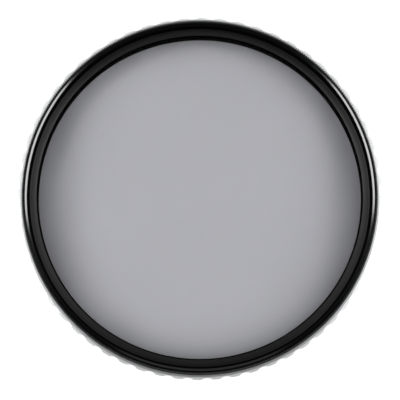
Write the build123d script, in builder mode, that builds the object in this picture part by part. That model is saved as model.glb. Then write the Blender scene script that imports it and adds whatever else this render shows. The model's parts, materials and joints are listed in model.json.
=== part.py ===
# Circular polarising filter for a 77 mm lens thread, lying on its back with the front lip up.
# The rear ring screws on to the lens. The front ring turns on it and carries the polariser.
import os

from build123d import *

os.makedirs("parts", exist_ok=True)

# Lens thread, 77 mm by 0.75 mm, drawn as plain walls
thread_major_r = 38.5
thread_minor_r = 38.1

# Rear ring, with heights above its rear end in millimetres
rear_bore_r = 36.5
shoulder_z = 2.2
web_z = 2.7
rear_top_z = 4.6
spigot_bevel = 0.3

# Scalloped grip round the rear ring
grip_r = 41.0
grip_bevel = 0.6
flute_count = 60
flute_r = 2.1
flute_depth = 0.42
flute_turn = 2.25

# Turning fit between the two rings
socket_r = 39.3
turning_gap = 0.08
end_gap = 0.2
skirt_r = socket_r - turning_gap
skirt_z = web_z + end_gap
head_z = rear_top_z + end_gap

# Snap ring: square spring wire that seats in the rear ring and runs in a groove of the front ring
wire_depth = 0.55
wire_height = 0.5
wire_z = 3.75
wire_gap_angle = 9.0
rear_groove_depth = 0.3
rear_groove_slack = 0.04
front_groove_slack = 0.1
wire_outer_r = socket_r + rear_groove_depth
rear_groove_top_z = wire_z + wire_height + rear_groove_slack
front_groove_r = wire_outer_r - wire_depth - front_groove_slack

# Front ring: bore, glass seat, knurled edge with its bevel, sloping lip and thread mouth
front_bore_r = 36.3
seat_thick = 0.5
pocket_r = 37.68
knurl_r = 40.0
knurl_top_z = 6.75
lip_outer_r = 39.1
lip_outer_z = 7.45
lip_inner_r = 38.5
lip_z = 7.6
mouth_z = 7.1

# Polariser stack from its seat upwards: rear glass, retarder film, polarising film, front glass
glass_r = 37.62
glass_thick = 0.6
film_thick = 0.1
seat_z = skirt_z + seat_thick
retarder_z = seat_z + glass_thick
polariser_z = retarder_z + film_thick
front_glass_z = polariser_z + film_thick

# Retaining ring, screwed down on the glass
retainer_r = 37.65
retainer_thick = 0.6
retainer_taper = 0.3
retainer_z = front_glass_z + glass_thick
retainer_top_z = retainer_z + retainer_thick


# Rear ring: male thread spigot, scalloped grip flange and the socket for the front ring
with BuildPart() as rear_ring:
    with BuildSketch(Plane.XZ):
        with BuildLine():
            Polyline(
                (rear_bore_r, 0),
                (thread_major_r - spigot_bevel, 0),
                (thread_major_r, spigot_bevel),
                (thread_major_r, shoulder_z),
                (grip_r, shoulder_z),
                (grip_r, rear_top_z - grip_bevel),
                (grip_r - grip_bevel, rear_top_z),
                (socket_r, rear_top_z),
                (socket_r, rear_groove_top_z),
                (wire_outer_r, rear_groove_top_z),
                (wire_outer_r, wire_z),
                (socket_r, wire_z),
                (socket_r, web_z),
                (rear_bore_r, web_z),
                close=True,
            )
        make_face()
    revolve(axis=Axis.Z)
    with BuildSketch(Plane.XY.offset(shoulder_z)):
        with PolarLocations(grip_r - flute_depth + flute_r, flute_count, start_angle=flute_turn):
            Circle(flute_r)
    extrude(amount=rear_top_z - shoulder_z, mode=Mode.SUBTRACT)
rear_ring.part.label = "rear_ring"
export_step(rear_ring.part, "parts/rear_ring.step")


# Snap ring: split so that it can be closed up to go into its grooves
with BuildPart() as snap_ring:
    with BuildSketch(Plane.XZ):
        with Locations((wire_outer_r - wire_depth / 2, wire_z + wire_height / 2)):
            Rectangle(wire_depth, wire_height)
    revolve(axis=Axis.Z, revolution_arc=360 - wire_gap_angle)
snap_ring.part.label = "snap_ring"
export_step(snap_ring.part, "parts/snap_ring.step")


# Front ring: skirt that turns in the rear ring, glass pocket, knurled head and thread mouth
with BuildPart() as front_ring:
    with BuildSketch(Plane.XZ):
        with BuildLine():
            Polyline(
                (front_bore_r, skirt_z),
                (skirt_r, skirt_z),
                (skirt_r, wire_z - front_groove_slack),
                (front_groove_r, wire_z - front_groove_slack),
                (front_groove_r, wire_z + wire_height + front_groove_slack),
                (skirt_r, wire_z + wire_height + front_groove_slack),
                (skirt_r, head_z),
                (knurl_r, head_z),
                (knurl_r, knurl_top_z),
                (lip_outer_r, lip_outer_z),
                (lip_inner_r, lip_z),
                (thread_minor_r, mouth_z),
                (thread_minor_r, retainer_top_z),
                (pocket_r, retainer_top_z),
                (pocket_r, seat_z),
                (front_bore_r, seat_z),
                close=True,
            )
        make_face()
    revolve(axis=Axis.Z)
front_ring.part.label = "front_ring"
export_step(front_ring.part, "parts/front_ring.step")


# Retaining ring: flat turned band flush with the floor of the thread mouth, with a tapered bore
with BuildPart() as retaining_ring:
    with BuildSketch(Plane.XZ):
        with BuildLine():
            Polyline(
                (front_bore_r, retainer_z),
                (retainer_r, retainer_z),
                (retainer_r, retainer_top_z),
                (front_bore_r + retainer_taper, retainer_top_z),
                close=True,
            )
        make_face()
    revolve(axis=Axis.Z)
retaining_ring.part.label = "retaining_ring"
export_step(retaining_ring.part, "parts/retaining_ring.step")


# Polariser: two glass discs cemented over the two films
discs = (
    ("rear_glass", seat_z, glass_thick),
    ("retarder_film", retarder_z, film_thick),
    ("polarising_film", polariser_z, film_thick),
    ("front_glass", front_glass_z, glass_thick),
)
for name, disc_z, disc_thick in discs:
    with BuildPart() as disc:
        with BuildSketch(Plane.XY.offset(disc_z)):
            Circle(glass_r)
        extrude(amount=disc_thick)
    disc.part.label = name
    export_step(disc.part, f"parts/{name}.step")
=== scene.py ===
"""Looks, stage and camera for a circular polarising filter that lies on its back."""
import json
import math

import bmesh
import bpy
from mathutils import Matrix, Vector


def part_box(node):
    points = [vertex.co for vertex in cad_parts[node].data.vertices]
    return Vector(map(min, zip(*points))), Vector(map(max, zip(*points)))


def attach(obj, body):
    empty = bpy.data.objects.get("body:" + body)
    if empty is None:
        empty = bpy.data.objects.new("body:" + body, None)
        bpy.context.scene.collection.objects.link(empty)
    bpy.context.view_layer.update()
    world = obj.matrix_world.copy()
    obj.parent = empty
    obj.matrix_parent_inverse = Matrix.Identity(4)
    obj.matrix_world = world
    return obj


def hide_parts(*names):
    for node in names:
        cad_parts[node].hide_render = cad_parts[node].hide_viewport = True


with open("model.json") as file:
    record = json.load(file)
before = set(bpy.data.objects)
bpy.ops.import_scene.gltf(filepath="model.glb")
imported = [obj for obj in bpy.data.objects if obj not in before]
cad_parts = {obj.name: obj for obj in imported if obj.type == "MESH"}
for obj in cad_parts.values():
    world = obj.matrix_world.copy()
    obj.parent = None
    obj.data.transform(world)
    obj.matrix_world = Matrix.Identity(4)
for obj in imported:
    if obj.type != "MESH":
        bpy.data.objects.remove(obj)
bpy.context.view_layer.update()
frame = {"nodes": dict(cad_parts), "record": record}

bl_info = {
    "name": "Circular polarising filter",
    "version": (1, 0, 0),
    "blender": (4, 5, 0),
    "location": "View3D > Sidebar > Lens filter",
    "description": "Dresses a screw in polarising filter: turned rings, grey glass, stage and camera",
    "category": "Object",
}

MM = 0.001
MOUNTS = {mount["name"]: mount for mount in frame["record"]["mounts"]}


def linear(code):
    """Linear colour of an sRGB hex value."""
    channels = [int(code[i:i + 2], 16) / 255 for i in (1, 3, 5)]
    return tuple(c / 12.92 if c <= 0.04045 else ((c + 0.055) / 1.055) ** 2.4 for c in channels)


def corner(node, end):
    """A CAD node's greatest radius and the height of its lower (0) or upper (1) face, in metres."""
    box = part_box(node)
    return box[1][0], box[end][2]


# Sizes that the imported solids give
GRIP_R, REAR_TOP_Z = corner("rear_ring", 1)
KNURL_R, LIP_Z = corner("front_ring", 1)
SKIRT_Z = corner("front_ring", 0)[1]
RETAINER_R, RETAINER_TOP_Z = corner("retaining_ring", 1)
RETAINER_SEAT_Z = corner("retaining_ring", 0)[1]
GLASS_R, GLASS_TOP_Z = corner("front_glass", 1)
GLASS_SEAT_Z = corner("rear_glass", 0)[1]
WIRE_R, WIRE_TOP_Z = corner("snap_ring", 1)
WIRE_Z = corner("snap_ring", 0)[1]
SHOULDER_Z = MOUNTS["lens_shoulder"]["pos_m"][2]
MALE_R = MOUNTS["rear_thread"]["dims"]["r_mm"] * MM
FEMALE_R = MOUNTS["front_thread"]["dims"]["r_mm"] * MM

# Sizes inside the solids, repeated from the part's source
WEB_Z = 2.7 * MM
HEAD_Z = 4.8 * MM
REAR_BORE_R = 36.5 * MM
FRONT_BORE_R = 36.3 * MM
SOCKET_R = 39.3 * MM
SKIRT_R = 39.22 * MM
FRONT_GROOVE_R = 38.95 * MM
REAR_GROOVE_SLACK = 0.04 * MM
FRONT_GROOVE_SLACK = 0.1 * MM
POCKET_R = 37.68 * MM
KNURL_TOP_Z = 6.75 * MM
LIP_OUTER_R = 39.1 * MM
LIP_OUTER_Z = 7.45 * MM
LIP_INNER_R = 38.5 * MM
MOUTH_Z = 7.1 * MM
GRIP_BEVEL = 0.6 * MM
SPIGOT_BEVEL = 0.3 * MM
RETAINER_TAPER = 0.3 * MM

# Faces: columns to a tooth and to a hollow, columns round the plain pieces, rows to a turn of thread
TOOTH_COLUMNS = 2
FLUTE_COLUMNS = 24
BAND_COLUMNS = 720
GLASS_COLUMNS = 360
THREAD_ROWS = 6

# Height over which the teeth rise out of the plain rim under them
TEETH_RISE = 0.1 * MM

# Tolerances for finding a wall or a floor and for joining vertices, and the least angle of a sharp edge
NEAR = 0.01 * MM
SAME_PLACE = 0.001 * MM
SHARP_ANGLE = math.radians(12)


class FilterSizes(bpy.types.PropertyGroup):
    knurl_teeth: bpy.props.IntProperty(
        name="Knurl teeth", description="Fine straight teeth round the front ring", default=427, min=60)
    knurl_depth: bpy.props.FloatProperty(
        name="Knurl depth", description="Depth of a knurl groove", default=0.31 * MM, unit="LENGTH",
        precision=5)
    knurl_inset: bpy.props.FloatProperty(
        name="Knurl inset", description="How far the crests of the teeth stand inside the solid ring",
        default=0.1 * MM, unit="LENGTH", precision=5)
    knurl_rim: bpy.props.FloatProperty(
        name="Knurl rim", description="Height of the plain rim under the teeth", default=0.35 * MM,
        unit="LENGTH", precision=5)
    knurl_runout: bpy.props.FloatProperty(
        name="Knurl run-out", description="How far in each groove runs out on the bevel above the knurl",
        default=0.65 * MM, unit="LENGTH", precision=5)
    knurl_slope: bpy.props.FloatProperty(
        name="Knurl slope", description="Slope of the floor of each groove where it runs out",
        default=math.radians(52), subtype="ANGLE", unit="ROTATION")
    thread_pitch: bpy.props.FloatProperty(
        name="Thread pitch", description="Pitch of both lens threads", default=0.75 * MM, unit="LENGTH",
        precision=5)
    thread_depth: bpy.props.FloatProperty(
        name="Thread depth", description="Depth of both lens threads", default=0.38 * MM, unit="LENGTH",
        precision=5)
    flutes: bpy.props.IntProperty(
        name="Flutes", description="Hollows round the grip of the rear ring", default=60, min=6)
    flute_radius: bpy.props.FloatProperty(
        name="Flute radius", description="Radius of one hollow", default=2.1 * MM, unit="LENGTH",
        precision=5)
    flute_depth: bpy.props.FloatProperty(
        name="Flute depth", description="Depth of one hollow", default=0.42 * MM, unit="LENGTH",
        precision=5)
    flute_turn: bpy.props.FloatProperty(
        name="Flute turn", description="Angle of the first hollow", default=math.radians(2.25),
        subtype="ANGLE", unit="ROTATION")
    lip_break: bpy.props.FloatProperty(
        name="Lip break", description="How far each edge of the lip is cut back", default=0.07 * MM,
        unit="LENGTH", precision=5)
    edge_round: bpy.props.FloatProperty(
        name="Edge rounding", description="Broken edge on the turned corners that show",
        default=0.03 * MM, unit="LENGTH", precision=5)


class FilterColours(bpy.types.PropertyGroup):
    black: bpy.props.FloatVectorProperty(
        name="Black anodise", description="Front ring", default=linear("#050506"), subtype="COLOR")
    turned_black: bpy.props.FloatVectorProperty(
        name="Turned black", description="Retaining ring and the floor of the thread mouth",
        default=linear("#0C0C0D"), subtype="COLOR")
    clear: bpy.props.FloatVectorProperty(
        name="Clear anodise", description="Rear ring", default=linear("#F2F3F4"), subtype="COLOR")
    paint: bpy.props.FloatVectorProperty(
        name="Bore paint", description="Bores of the rings and the thread mouth", default=linear("#060607"),
        subtype="COLOR")
    steel: bpy.props.FloatVectorProperty(
        name="Spring steel", description="Snap ring", default=linear("#9A9A9C"), subtype="COLOR")
    glass: bpy.props.FloatVectorProperty(
        name="Polariser grey", description="Tint of the glass with its films", default=linear("#EEEEF2"),
        subtype="COLOR")
    table: bpy.props.FloatVectorProperty(
        name="Table", description="Pale table top", default=linear("#C6C6C6"), subtype="COLOR")


def add_node(tree, kind, values=None, links=None, **settings):
    """Adds a shader node, sets its properties and input values, and links outputs into its inputs."""
    made = tree.nodes.new(kind)
    for name, value in settings.items():
        setattr(made, name, value)
    for name, value in (values or {}).items():
        made.inputs[name].default_value = value
    for name, output in (links or {}).items():
        tree.links.new(output, made.inputs[name])
    return made


def new_material(name):
    """A material with an empty tree and an output."""
    material = bpy.data.materials.new(name)
    material.use_nodes = True
    material.node_tree.nodes.clear()
    output = material.node_tree.nodes.new("ShaderNodeOutputMaterial")
    return material, material.node_tree, output


def with_alpha(colour):
    """A colour with full alpha."""
    return (*colour, 1.0)


def radius_of(tree):
    """Distance from the optical axis, read from Object coordinates."""
    place = add_node(tree, "ShaderNodeTexCoord").outputs["Object"]
    flat = add_node(tree, "ShaderNodeVectorMath", {1: (1.0, 1.0, 0.0)}, {0: place}, operation="MULTIPLY")
    length = add_node(tree, "ShaderNodeVectorMath", links={0: flat.outputs[0]}, operation="LENGTH")
    return length.outputs["Value"]


def turning_marks(tree, spacing):
    """Height of the fine concentric marks that a lathe tool leaves, one every spacing metres."""
    per_metre = 2 * math.pi / spacing
    phase = add_node(tree, "ShaderNodeMath", {1: per_metre}, {0: radius_of(tree)}, operation="MULTIPLY")
    return add_node(tree, "ShaderNodeMath", links={0: phase.outputs[0]}, operation="SINE").outputs[0]


def grain(tree, size, detail=2.0):
    """Noise whose grain is about size metres across."""
    place = add_node(tree, "ShaderNodeTexCoord").outputs["Object"]
    noise = add_node(tree, "ShaderNodeTexNoise", {"Scale": 1 / size, "Detail": detail}, {"Vector": place})
    return noise.outputs[0]


def black_anodised_aluminium(colour):
    # Dyed oxide on turned aluminium: nearly black, with a clear semi-gloss skin and a fine blasted grain.
    # The real grain is near 0.05 mm. It is drawn at 0.3 mm so that it shows.
    material, tree, output = new_material("black_anodised_aluminium_semi_gloss")
    speck = grain(tree, 0.3 * MM)
    rough = add_node(tree, "ShaderNodeMapRange", {"To Min": 0.1, "To Max": 0.16}, {"Value": speck})
    bump = add_node(tree, "ShaderNodeBump", {"Strength": 0.04, "Distance": 0.01 * MM}, {"Height": speck})
    shader = add_node(
        tree, "ShaderNodeBsdfPrincipled",
        {"Base Color": with_alpha(colour), "Metallic": 0.0, "IOR": 1.7},
        {"Roughness": rough.outputs[0], "Normal": bump.outputs[0]})
    tree.links.new(shader.outputs[0], output.inputs["Surface"])
    return material


def black_turned_aluminium(colour):
    # Matt black anodise over a face turned on a lathe: the concentric tool marks spread light radially,
    # so the band is bright towards the lights and dark across them.
    # The real feed is near 0.05 mm. It is drawn at 0.2 mm so that it shows.
    material, tree, output = new_material("black_anodised_aluminium_turned")
    marks = turning_marks(tree, 0.2 * MM)
    bump = add_node(tree, "ShaderNodeBump", {"Strength": 0.1, "Distance": 0.01 * MM}, {"Height": marks})
    speck = grain(tree, 0.4 * MM)
    rough = add_node(tree, "ShaderNodeMapRange", {"To Min": 0.5, "To Max": 0.58}, {"Value": speck})
    shader = add_node(
        tree, "ShaderNodeBsdfPrincipled",
        {"Base Color": with_alpha(colour), "Metallic": 0.0, "IOR": 1.6,
         "Anisotropic": 0.8, "Anisotropic Rotation": 0.25},
        {"Roughness": rough.outputs[0], "Normal": bump.outputs[0]})
    tree.links.new(shader.outputs[0], output.inputs["Surface"])
    return material


def clear_anodised_aluminium(colour):
    # Natural aluminium under a clear oxide: pale satin metal with faint turning marks.
    # The real feed is near 0.05 mm. It is drawn at 0.25 mm so that it shows.
    material, tree, output = new_material("clear_anodised_aluminium_satin")
    marks = turning_marks(tree, 0.25 * MM)
    speck = grain(tree, 0.3 * MM)
    rough = add_node(tree, "ShaderNodeMapRange", {"To Min": 0.38, "To Max": 0.46}, {"Value": speck})
    bump = add_node(tree, "ShaderNodeBump", {"Strength": 0.05, "Distance": 0.01 * MM}, {"Height": marks})
    shader = add_node(
        tree, "ShaderNodeBsdfPrincipled",
        {"Base Color": with_alpha(colour), "Metallic": 1.0,
         "Anisotropic": 0.3, "Anisotropic Rotation": 0.25},
        {"Roughness": rough.outputs[0], "Normal": bump.outputs[0]})
    tree.links.new(shader.outputs[0], output.inputs["Surface"])
    return material


def black_bore_paint(colour):
    # Matt black paint on the bores and in the thread mouth, where a shine would throw light into the lens.
    # The real grain is near 0.05 mm. It is drawn at 0.2 mm so that it shows.
    material, tree, output = new_material("black_matt_paint")
    speck = grain(tree, 0.2 * MM)
    rough = add_node(tree, "ShaderNodeMapRange", {"To Min": 0.6, "To Max": 0.75}, {"Value": speck})
    bump = add_node(tree, "ShaderNodeBump", {"Strength": 0.1, "Distance": 0.01 * MM}, {"Height": speck})
    shader = add_node(
        tree, "ShaderNodeBsdfPrincipled",
        {"Base Color": with_alpha(colour), "IOR": 1.5, "Specular IOR Level": 0.0},
        {"Roughness": rough.outputs[0], "Normal": bump.outputs[0]})
    tree.links.new(shader.outputs[0], output.inputs["Surface"])
    return material


def spring_steel(colour):
    # Drawn spring wire: bare grey steel whose polish from the die is slightly uneven.
    material, tree, output = new_material("spring_steel_drawn")
    speck = grain(tree, 0.5 * MM)
    rough = add_node(tree, "ShaderNodeMapRange", {"To Min": 0.3, "To Max": 0.42}, {"Value": speck})
    shader = add_node(
        tree, "ShaderNodeBsdfPrincipled",
        {"Base Color": with_alpha(colour), "Metallic": 1.0},
        {"Roughness": rough.outputs[0]})
    tree.links.new(shader.outputs[0], output.inputs["Surface"])
    return material


# Glass: how steeply and how far its grey deepens at the rim, a painted shade for the ring's shadow, and
# the depth and width of its faint waves
RIM_POWER, RIM_PAINTED_SHADE = 12.0, 0.3
WAVE_SHADE, WAVE_SIZE = 0.02, 18 * MM


def polariser_glass(colour):
    # Two polished glass discs cemented over the grey films: clear, neutral grey, with faint waves in the
    # film. Towards the rim the grey is darkened as painted shade, standing in for the ring's shadow on the
    # table under the glass. Bare glass has an index near 1.5: the lower one stands for the coating, which
    # keeps the mirror image weak.
    material, tree, output = new_material("polariser_glass_coated")
    # Painted shade: the tint darkens steeply towards the rim of the bore
    share = add_node(tree, "ShaderNodeMath", {1: FRONT_BORE_R}, {0: radius_of(tree)}, operation="DIVIDE")
    rim = add_node(tree, "ShaderNodeMath", {1: RIM_POWER}, {0: share.outputs[0]}, operation="POWER")
    ripple = grain(tree, WAVE_SIZE, detail=0.0)
    wave = add_node(tree, "ShaderNodeMath", {1: WAVE_SHADE}, {0: ripple}, operation="MULTIPLY")
    shade = add_node(
        tree, "ShaderNodeMath", {1: RIM_PAINTED_SHADE}, {0: rim.outputs[0], 2: wave.outputs[0]},
        operation="MULTIPLY_ADD")
    tint = add_node(
        tree, "ShaderNodeMix", {"A": with_alpha(colour), "B": (0.0, 0.0, 0.0, 1.0)},
        {"Factor": shade.outputs[0]}, data_type="RGBA")
    shader = add_node(
        tree, "ShaderNodeBsdfPrincipled",
        {"Roughness": 0.0, "IOR": 1.22, "Transmission Weight": 1.0},
        {"Base Color": tint.outputs["Result"]})
    tree.links.new(shader.outputs[0], output.inputs["Surface"])
    return material


def turned(section, columns, closed=True, edge_round=0.0, round_points=()):
    """Turns a (radius, height) section round the optical axis, with some of its points rounded."""
    shape = bmesh.new()
    points = [shape.verts.new((r, 0.0, z)) for r, z in section]
    ends = points[1:] + points[:1] if closed else points[1:]
    for before, after in zip(points, ends):
        shape.edges.new((before, after))
    if round_points:
        bmesh.ops.bevel(
            shape, geom=[points[i] for i in round_points], offset=edge_round, offset_type="OFFSET",
            affect="VERTICES", segments=2, profile=0.5, material=-1)
    # One run of columns is spun, and the run is then copied round: both spins stay short
    runs = max(n for n in range(1, math.isqrt(columns) + 1) if columns % n == 0)
    run_angle = 2 * math.pi / runs
    about_axis = {"cent": (0, 0, 0), "axis": (0, 0, 1)}
    bmesh.ops.spin(
        shape, geom=shape.verts[:] + shape.edges[:], angle=run_angle, steps=columns // runs, **about_axis)
    bmesh.ops.spin(
        shape, geom=shape.verts[:] + shape.edges[:] + shape.faces[:], angle=2 * math.pi - run_angle,
        steps=runs - 1, use_duplicate=True, **about_axis)
    bmesh.ops.remove_doubles(shape, verts=shape.verts, dist=SAME_PLACE)
    bmesh.ops.recalc_face_normals(shape, faces=shape.faces)
    return shape


def axis_distance(point):
    """Distance of a point from the optical axis."""
    return math.hypot(point.x, point.y)


def set_radius(vert, radius):
    """Moves a vertex in or out from the optical axis."""
    scale = radius / axis_distance(vert.co)
    vert.co.x *= scale
    vert.co.y *= scale


def ridge(phase):
    """A V shaped wave: 0 at whole numbers and 1 halfway between them."""
    return 1 - abs(2 * (phase % 1.0) - 1)


def cut_thread(shape, wall_r, low, high, sizes, outward):
    """Cuts a right hand V thread into a plain wall, outward (nut) or inward (screw), fading at its ends."""
    runout = sizes.thread_pitch / 3
    for vert in shape.verts:
        on_wall = abs(axis_distance(vert.co) - wall_r) < NEAR
        if on_wall and low < vert.co.z < high:
            turn = math.atan2(vert.co.y, vert.co.x) / (2 * math.pi)
            fade = min(1.0, (vert.co.z - low) / runout, (high - vert.co.z) / runout)
            cut = fade * sizes.thread_depth * ridge(vert.co.z / sizes.thread_pitch - turn)
            set_radius(vert, wall_r + cut if outward else wall_r - cut)


def thread_rows(radius, low, high, pitch):
    """Section points up a threaded wall."""
    rows = math.ceil((high - low) / (pitch / THREAD_ROWS))
    return [(radius, low + (high - low) * i / rows) for i in range(rows + 1)]


def finish_piece(shape, name, body, slot, nodes, *materials):
    """Makes the object, shades it smooth with sharp corners, and hands it to the frame."""
    mesh = bpy.data.meshes.new(name)
    shape.to_mesh(mesh)
    shape.free()
    mesh.shade_smooth()
    mesh.set_sharp_from_angle(angle=SHARP_ANGLE)
    for material in materials:
        mesh.materials.append(material)
    piece = bpy.data.objects.new(name, mesh)
    bpy.context.scene.collection.objects.link(piece)
    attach(piece, body)
    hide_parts(*nodes)


class FILTER_OT_front_ring(bpy.types.Operator):
    """Front ring with its knurl and its female thread"""
    bl_idname = "lens_filter.front_ring"
    bl_label = "Front ring"

    def execute(self, context):
        sizes = context.scene.filter_sizes
        # The grooves run out on the bevel that rises from the knurl to the lip
        crest_r = KNURL_R - sizes.knurl_inset
        root_r = crest_r - sizes.knurl_depth
        runout_r = KNURL_R - sizes.knurl_runout
        bevel_slope = (LIP_OUTER_Z - KNURL_TOP_Z) / (KNURL_R - LIP_OUTER_R)
        crest_z = KNURL_TOP_Z + bevel_slope * sizes.knurl_inset
        runout_z = KNURL_TOP_Z + bevel_slope * sizes.knurl_runout
        root_z = runout_z - math.tan(sizes.knurl_slope) * (root_r - runout_r)
        rim_z = HEAD_Z + sizes.knurl_rim
        teeth_z = rim_z + TEETH_RISE
        lip_drop = sizes.lip_break * (LIP_Z - LIP_OUTER_Z) / (LIP_OUTER_R - LIP_INNER_R)
        skirt = [
            (FRONT_BORE_R, SKIRT_Z),
            (SKIRT_R, SKIRT_Z),
            (SKIRT_R, WIRE_Z - FRONT_GROOVE_SLACK),
            (FRONT_GROOVE_R, WIRE_Z - FRONT_GROOVE_SLACK),
            (FRONT_GROOVE_R, WIRE_TOP_Z + FRONT_GROOVE_SLACK),
            (SKIRT_R, WIRE_TOP_Z + FRONT_GROOVE_SLACK),
            (SKIRT_R, HEAD_Z),
        ]
        knurl = [
            (crest_r, HEAD_Z),
            (crest_r, rim_z),
            (crest_r, teeth_z),
            (crest_r, crest_z),
            (runout_r, runout_z),
        ]
        lip = [
            (LIP_OUTER_R - sizes.lip_break, LIP_OUTER_Z + lip_drop),
            (LIP_INNER_R + sizes.lip_break, LIP_Z - lip_drop),
        ]
        wall = thread_rows(FEMALE_R, RETAINER_TOP_Z, MOUTH_Z, sizes.thread_pitch)
        pocket = [
            (POCKET_R, RETAINER_TOP_Z),
            (POCKET_R, GLASS_SEAT_Z),
            (FRONT_BORE_R, GLASS_SEAT_Z),
        ]
        section = skirt + knurl + lip + wall[::-1] + pocket
        inner_edge = len(skirt) + len(knurl) + 1
        shape = turned(
            section, sizes.knurl_teeth * TOOTH_COLUMNS, edge_round=sizes.edge_round,
            round_points=(inner_edge,))
        cut_thread(shape, FEMALE_R, RETAINER_TOP_Z, MOUTH_Z, sizes, outward=True)
        groove_ends = []
        for face in shape.faces:
            middle = face.calc_center_median()
            if runout_r < axis_distance(middle) < KNURL_R and middle.z > KNURL_TOP_Z:
                groove_ends.append(face)
        for vert in shape.verts:
            if axis_distance(vert.co) > crest_r - NEAR and vert.co.z > rim_z + NEAR:
                tooth = math.atan2(vert.co.y, vert.co.x) / (2 * math.pi) * sizes.knurl_teeth
                groove = 1 - ridge(tooth)
                set_radius(vert, crest_r - groove * sizes.knurl_depth)
                if vert.co.z > teeth_z + NEAR:
                    vert.co.z -= groove * (crest_z - root_z)
        # The grooves twist the quads at their ends, so these are split
        bmesh.ops.triangulate(shape, faces=groove_ends, quad_method="LONG_EDGE")
        # Materials by place: 0 is the outside, 1 the turned floor of the mouth, 2 the painted inside
        for face in shape.faces:
            middle = face.calc_center_median()
            radius = axis_distance(middle)
            if abs(middle.z - RETAINER_TOP_Z) < NEAR and radius < FEMALE_R:
                face.material_index = 1
            elif radius < LIP_INNER_R - sizes.edge_round:
                face.material_index = 2
        colours = context.scene.filter_colours
        materials = (
            black_anodised_aluminium(colours.black),
            black_turned_aluminium(colours.turned_black),
            black_bore_paint(colours.paint))
        finish_piece(shape, "front_ring_knurled", "front", "black_anodised", ["front_ring"], *materials)
        return {"FINISHED"}


class FILTER_OT_rear_ring(bpy.types.Operator):
    """Rear ring with its scalloped grip and its male thread"""
    bl_idname = "lens_filter.rear_ring"
    bl_label = "Rear ring"

    def execute(self, context):
        sizes = context.scene.filter_sizes
        spigot = [(REAR_BORE_R, 0.0), (MALE_R - SPIGOT_BEVEL, 0.0)]
        wall = thread_rows(MALE_R, SPIGOT_BEVEL, SHOULDER_Z, sizes.thread_pitch)
        # The first row of the grip lies inside the bottoms of the hollows, half a depth clear of them
        inside_r = GRIP_R - 1.5 * sizes.flute_depth
        grip = [
            (inside_r, SHOULDER_Z),
            (GRIP_R, SHOULDER_Z),
            (GRIP_R, REAR_TOP_Z - GRIP_BEVEL),
            (GRIP_R - GRIP_BEVEL / 3, REAR_TOP_Z - GRIP_BEVEL * 2 / 3),
            (GRIP_R - GRIP_BEVEL * 2 / 3, REAR_TOP_Z - GRIP_BEVEL / 3),
            (GRIP_R - GRIP_BEVEL, REAR_TOP_Z),
        ]
        socket = [
            (SOCKET_R, REAR_TOP_Z),
            (SOCKET_R, WIRE_TOP_Z + REAR_GROOVE_SLACK),
            (WIRE_R, WIRE_TOP_Z + REAR_GROOVE_SLACK),
            (WIRE_R, WIRE_Z),
            (SOCKET_R, WIRE_Z),
            (SOCKET_R, WEB_Z),
            (REAR_BORE_R, WEB_Z),
        ]
        section = spigot + wall + grip + socket
        first_grip = len(spigot) + len(wall)
        # The edge of the shoulder and both edges of the bevel are rounded
        shape = turned(
            section, sizes.flutes * FLUTE_COLUMNS, edge_round=sizes.edge_round,
            round_points=(first_grip + 1, first_grip + 2, first_grip + 5))
        cut_thread(shape, MALE_R, SPIGOT_BEVEL, SHOULDER_Z, sizes, outward=False)
        # Each hollow is a cylinder whose axis stands outside the grip
        centre_r = GRIP_R - sizes.flute_depth + sizes.flute_radius
        pitch = 2 * math.pi / sizes.flutes
        for vert in shape.verts:
            angle = math.atan2(vert.co.y, vert.co.x) - sizes.flute_turn
            away = centre_r * math.sin((angle + pitch / 2) % pitch - pitch / 2)
            if abs(away) < sizes.flute_radius and vert.co.z > SHOULDER_Z - NEAR:
                along = math.sqrt(centre_r ** 2 - away ** 2)
                hollow_r = along - math.sqrt(sizes.flute_radius ** 2 - away ** 2)
                if hollow_r < axis_distance(vert.co):
                    set_radius(vert, hollow_r)
        # Materials by place: 0 is the metal, 1 the painted bore
        for face in shape.faces:
            face.material_index = 1 if axis_distance(face.calc_center_median()) < REAR_BORE_R else 0
        colours = context.scene.filter_colours
        materials = (clear_anodised_aluminium(colours.clear), black_bore_paint(colours.paint))
        finish_piece(shape, "rear_ring_scalloped", "rear", "clear_anodised", ["rear_ring"], *materials)
        return {"FINISHED"}


class FILTER_OT_retaining_ring(bpy.types.Operator):
    """Flat turned band that holds the glass down"""
    bl_idname = "lens_filter.retaining_ring"
    bl_label = "Retaining ring"

    def execute(self, context):
        sizes = context.scene.filter_sizes
        section = [
            (FRONT_BORE_R, RETAINER_SEAT_Z),
            (RETAINER_R, RETAINER_SEAT_Z),
            (RETAINER_R, RETAINER_TOP_Z),
            (FRONT_BORE_R + RETAINER_TAPER, RETAINER_TOP_Z),
        ]
        shape = turned(section, BAND_COLUMNS, edge_round=sizes.edge_round, round_points=(3,))
        # Materials by place: 0 is the turned top, 1 the painted rest
        for face in shape.faces:
            face.material_index = 1 if face.normal.z < 0.5 else 0
        colours = context.scene.filter_colours
        materials = (black_turned_aluminium(colours.turned_black), black_bore_paint(colours.paint))
        finish_piece(
            shape, "retaining_ring_turned", "front", "black_turned", ["retaining_ring"], *materials)
        return {"FINISHED"}


class FILTER_OT_polariser(bpy.types.Operator):
    """Cemented polariser: both glass discs with the films between them"""
    bl_idname = "lens_filter.polariser"
    bl_label = "Polariser"

    def execute(self, context):
        section = [
            (0.0, GLASS_SEAT_Z),
            (GLASS_R, GLASS_SEAT_Z),
            (GLASS_R, GLASS_TOP_Z),
            (0.0, GLASS_TOP_Z),
        ]
        shape = turned(section, GLASS_COLUMNS, closed=False)
        material = polariser_glass(context.scene.filter_colours.glass)
        nodes = ["front_glass", "polarising_film", "retarder_film", "rear_glass"]
        finish_piece(shape, "polariser_disc", "front", "filter_glass", nodes, material)
        return {"FINISHED"}


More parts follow.
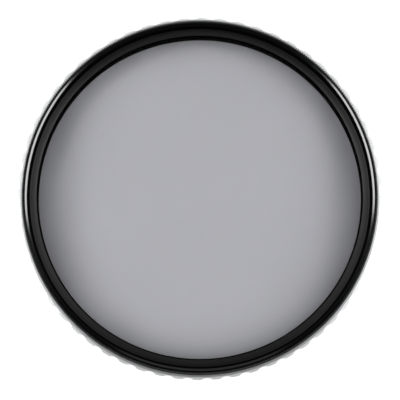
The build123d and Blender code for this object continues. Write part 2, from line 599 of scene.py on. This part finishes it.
class FILTER_OT_snap_ring(bpy.types.Operator):
    """Finish of the spring wire inside the rings"""
    bl_idname = "lens_filter.snap_ring"
    bl_label = "Snap ring"

    def execute(self, context):
        wire = frame["nodes"]["snap_ring"]
        wire.data.materials.clear()
        wire.data.materials.append(spring_steel(context.scene.filter_colours.steel))
        return {"FINISHED"}


# Camera: nearly overhead on the -Y side, with its focal length in millimetres
CAMERA_TILT = math.radians(6.34)
CAMERA_DISTANCE = 420 * MM
CAMERA_LENS = 169.6
AIM = (0.05 * MM, -1.07 * MM, LIP_Z)

# Softboxes: name, azimuth and elevation in degrees, distance and size in metres, power in watts
SOFTBOXES = (
    ("left_softbox", 190, 36, 0.9, (0.4, 0.35), 4.4),
    ("right_softbox", -10, 36, 0.9, (0.4, 0.35), 4.4),
    ("left_strip", 154, 54.5, 0.9, (0.42, 0.18), 2.05),
    ("right_strip", 27.5, 54.5, 0.9, (0.4, 0.18), 2.05),
    ("overhead", 90, 83, 1.2, (0.5, 0.5), 0.25),
    ("camera_fill", -90, 63, 0.9, (0.5, 0.4), 0.21),
)

# Surroundings: brightness at the horizon on the camera's side and on the far side, the Y of the direction
# where one starts to give way to the other and where it has, the Z up to which they reach, and the zenith
HORIZON_NEAR, HORIZON_FAR = 0.24, 0.72
BACKDROP_START, BACKDROP_END = -0.5, 0.4
HORIZON_TOP = 0.2
ZENITH_LEVEL = 0.004

# Table: half its side in metres, the strength of its lift to white near the filter and far from it, and
# the radii in metres between which it changes
TABLE_HALF = 4.0
LIFT_NEAR, LIFT_FAR = 0.8, 1.0
LIFT_START, LIFT_END = 0.1, 0.8

# Share of the lift that shows in metal, close to the filter and farther out, and the radii in metres
# between which it changes
METAL_NEAR, METAL_FAR = 0.45, 1.0
METAL_START, METAL_END = 0.054, 0.068

# Share of the lift that shows through the glass, in the middle and at both sides, and the distances in
# metres between which it changes. The lower share at the sides is a painted shadow: it darkens the table
# seen through the glass at the left and right, where the ring's shadow falls.
GLASS_MIDDLE, GLASS_SIDES_PAINTED_SHADOW = 0.14, 0.06
PAINTED_SHADOW_START, PAINTED_SHADOW_END = 0.024, 0.033


class FILTER_OT_stage(bpy.types.Operator):
    """Table, softboxes, surroundings and camera"""
    bl_idname = "lens_filter.stage"
    bl_label = "Stage"

    def table(self, colour):
        shape = bmesh.new()
        bmesh.ops.create_grid(shape, x_segments=1, y_segments=1, size=TABLE_HALF)
        mesh = bpy.data.meshes.new("table_top")
        shape.to_mesh(mesh)
        shape.free()
        # Pale laminate, which the lift makes white to the camera as it runs out of the light. The lift is
        # lower near the filter, where the shadow falls. Close to the filter only part of it shows in metal,
        # and only part of it shows through the glass, less at the left and right as a painted shadow of the
        # ring.
        material, tree, output = new_material("pale_table_laminate")
        ray = add_node(tree, "ShaderNodeLightPath")
        radius = radius_of(tree)
        in_metal = add_node(
            tree, "ShaderNodeMapRange",
            {"From Min": METAL_START, "From Max": METAL_END, "To Min": METAL_NEAR, "To Max": METAL_FAR},
            {"Value": radius})
        seen = add_node(
            tree, "ShaderNodeMath",
            links={
                0: ray.outputs["Is Glossy Ray"],
                1: in_metal.outputs[0],
                2: ray.outputs["Is Camera Ray"]},
            operation="MULTIPLY_ADD")
        # A ray through the glass counts as glossy too, so the share for metal is taken off again
        place = add_node(tree, "ShaderNodeTexCoord").outputs["Object"]
        across = add_node(tree, "ShaderNodeSeparateXYZ", links={0: place}).outputs["X"]
        side = add_node(tree, "ShaderNodeMath", links={0: across}, operation="ABSOLUTE")
        # Painted shadow: the share seen through the glass falls off towards the left and right sides
        in_glass_painted_shadow = add_node(
            tree, "ShaderNodeMapRange",
            {"From Min": PAINTED_SHADOW_START, "From Max": PAINTED_SHADOW_END,
             "To Min": GLASS_MIDDLE - METAL_NEAR, "To Max": GLASS_SIDES_PAINTED_SHADOW - METAL_NEAR},
            {"Value": side.outputs[0]}, interpolation_type="SMOOTHSTEP")
        shown = add_node(
            tree, "ShaderNodeMath",
            links={
                0: ray.outputs["Is Transmission Ray"],
                1: in_glass_painted_shadow.outputs[0],
                2: seen.outputs[0]},
            operation="MULTIPLY_ADD")
        level = add_node(
            tree, "ShaderNodeMapRange",
            {"From Min": LIFT_START, "From Max": LIFT_END, "To Min": LIFT_NEAR, "To Max": LIFT_FAR},
            {"Value": radius})
        lift = add_node(
            tree, "ShaderNodeMath", links={0: shown.outputs[0], 1: level.outputs[0]}, operation="MULTIPLY")
        shader = add_node(
            tree, "ShaderNodeBsdfPrincipled",
            {"Base Color": with_alpha(colour), "Roughness": 0.6, "Emission Color": (1.0, 1.0, 1.0, 1.0)},
            {"Emission Strength": lift.outputs[0]})
        tree.links.new(shader.outputs[0], output.inputs["Surface"])
        mesh.materials.append(material)
        table = bpy.data.objects.new("table_top", mesh)
        bpy.context.scene.collection.objects.link(table)

    def softbox(self, name, azimuth, elevation, distance, size, power):
        lamp = bpy.data.lights.new(name, "AREA")
        lamp.shape = "RECTANGLE"
        lamp.size, lamp.size_y = size
        lamp.energy = power
        light = bpy.data.objects.new(name, lamp)
        turn, rise = math.radians(azimuth), math.radians(elevation)
        light.location = (
            distance * math.cos(rise) * math.cos(turn),
            distance * math.cos(rise) * math.sin(turn),
            distance * math.sin(rise))
        light.rotation_euler = (math.pi / 2 - rise, 0.0, turn + math.pi / 2)
        bpy.context.scene.collection.objects.link(light)

    def surroundings(self):
        # A studio that is dark above and pale near the floor, palest on the far side. To the camera it
        # is white.
        world = bpy.data.worlds.new("studio")
        world.use_nodes = True
        tree = world.node_tree
        tree.nodes.clear()
        direction = add_node(tree, "ShaderNodeTexCoord").outputs["Generated"]
        way = add_node(tree, "ShaderNodeSeparateXYZ", links={0: direction})
        horizon = add_node(
            tree, "ShaderNodeMapRange",
            {"From Min": BACKDROP_START, "From Max": BACKDROP_END,
             "To Min": HORIZON_NEAR, "To Max": HORIZON_FAR},
            {"Value": way.outputs["Y"]}, interpolation_type="SMOOTHSTEP")
        level = add_node(
            tree, "ShaderNodeMapRange",
            {"From Min": 0.0, "From Max": HORIZON_TOP, "To Max": ZENITH_LEVEL},
            {"Value": way.outputs["Z"], "To Min": horizon.outputs[0]}, interpolation_type="SMOOTHSTEP")
        ray = add_node(tree, "ShaderNodeLightPath").outputs["Is Camera Ray"]
        strength = add_node(tree, "ShaderNodeMix", {"B": 1.0}, {"Factor": ray, "A": level.outputs[0]})
        background = add_node(
            tree, "ShaderNodeBackground", {"Color": (1.0, 1.0, 1.0, 1.0)},
            {"Strength": strength.outputs[0]})
        output = add_node(tree, "ShaderNodeOutputWorld")
        tree.links.new(background.outputs[0], output.inputs["Surface"])
        bpy.context.scene.world = world

    def camera(self):
        lens = bpy.data.cameras.new("camera")
        lens.lens = CAMERA_LENS
        lens.clip_start = 0.01
        camera = bpy.data.objects.new("camera", lens)
        camera.location = (
            AIM[0],
            AIM[1] - CAMERA_DISTANCE * math.sin(CAMERA_TILT),
            AIM[2] + CAMERA_DISTANCE * math.cos(CAMERA_TILT))
        camera.rotation_euler = (CAMERA_TILT, 0.0, 0.0)
        bpy.context.scene.collection.objects.link(camera)
        bpy.context.scene.camera = camera

    def execute(self, context):
        self.table(context.scene.filter_colours.table)
        for softbox in SOFTBOXES:
            self.softbox(*softbox)
        self.surroundings()
        self.camera()
        context.scene.view_settings.view_transform = "Standard"
        return {"FINISHED"}


STEPS = (
    FILTER_OT_stage,
    FILTER_OT_rear_ring,
    FILTER_OT_snap_ring,
    FILTER_OT_front_ring,
    FILTER_OT_retaining_ring,
    FILTER_OT_polariser,
)


class FILTER_PT_pieces(bpy.types.Panel):
    """Pieces of the filter, its sizes and its colours"""
    bl_idname = "FILTER_PT_pieces"
    bl_label = "Polarising filter"
    bl_space_type = "VIEW_3D"
    bl_region_type = "UI"
    bl_category = "Lens filter"

    def draw(self, context):
        for step in STEPS:
            self.layout.operator(step.bl_idname)
        for group in (context.scene.filter_sizes, context.scene.filter_colours):
            for name in group.__annotations__:
                self.layout.prop(group, name)


CLASSES = (FilterSizes, FilterColours, *STEPS, FILTER_PT_pieces)


def register():
    for kind in CLASSES:
        bpy.utils.register_class(kind)
    bpy.types.Scene.filter_sizes = bpy.props.PointerProperty(type=FilterSizes)
    bpy.types.Scene.filter_colours = bpy.props.PointerProperty(type=FilterColours)


def unregister():
    del bpy.types.Scene.filter_colours
    del bpy.types.Scene.filter_sizes
    for kind in reversed(CLASSES):
        bpy.utils.unregister_class(kind)


def main():
    register()
    bpy.ops.lens_filter.stage()
    bpy.ops.lens_filter.rear_ring()
    bpy.ops.lens_filter.snap_ring()
    bpy.ops.lens_filter.front_ring()
    bpy.ops.lens_filter.retaining_ring()
    bpy.ops.lens_filter.polariser()


if __name__ == "__main__":
    main()
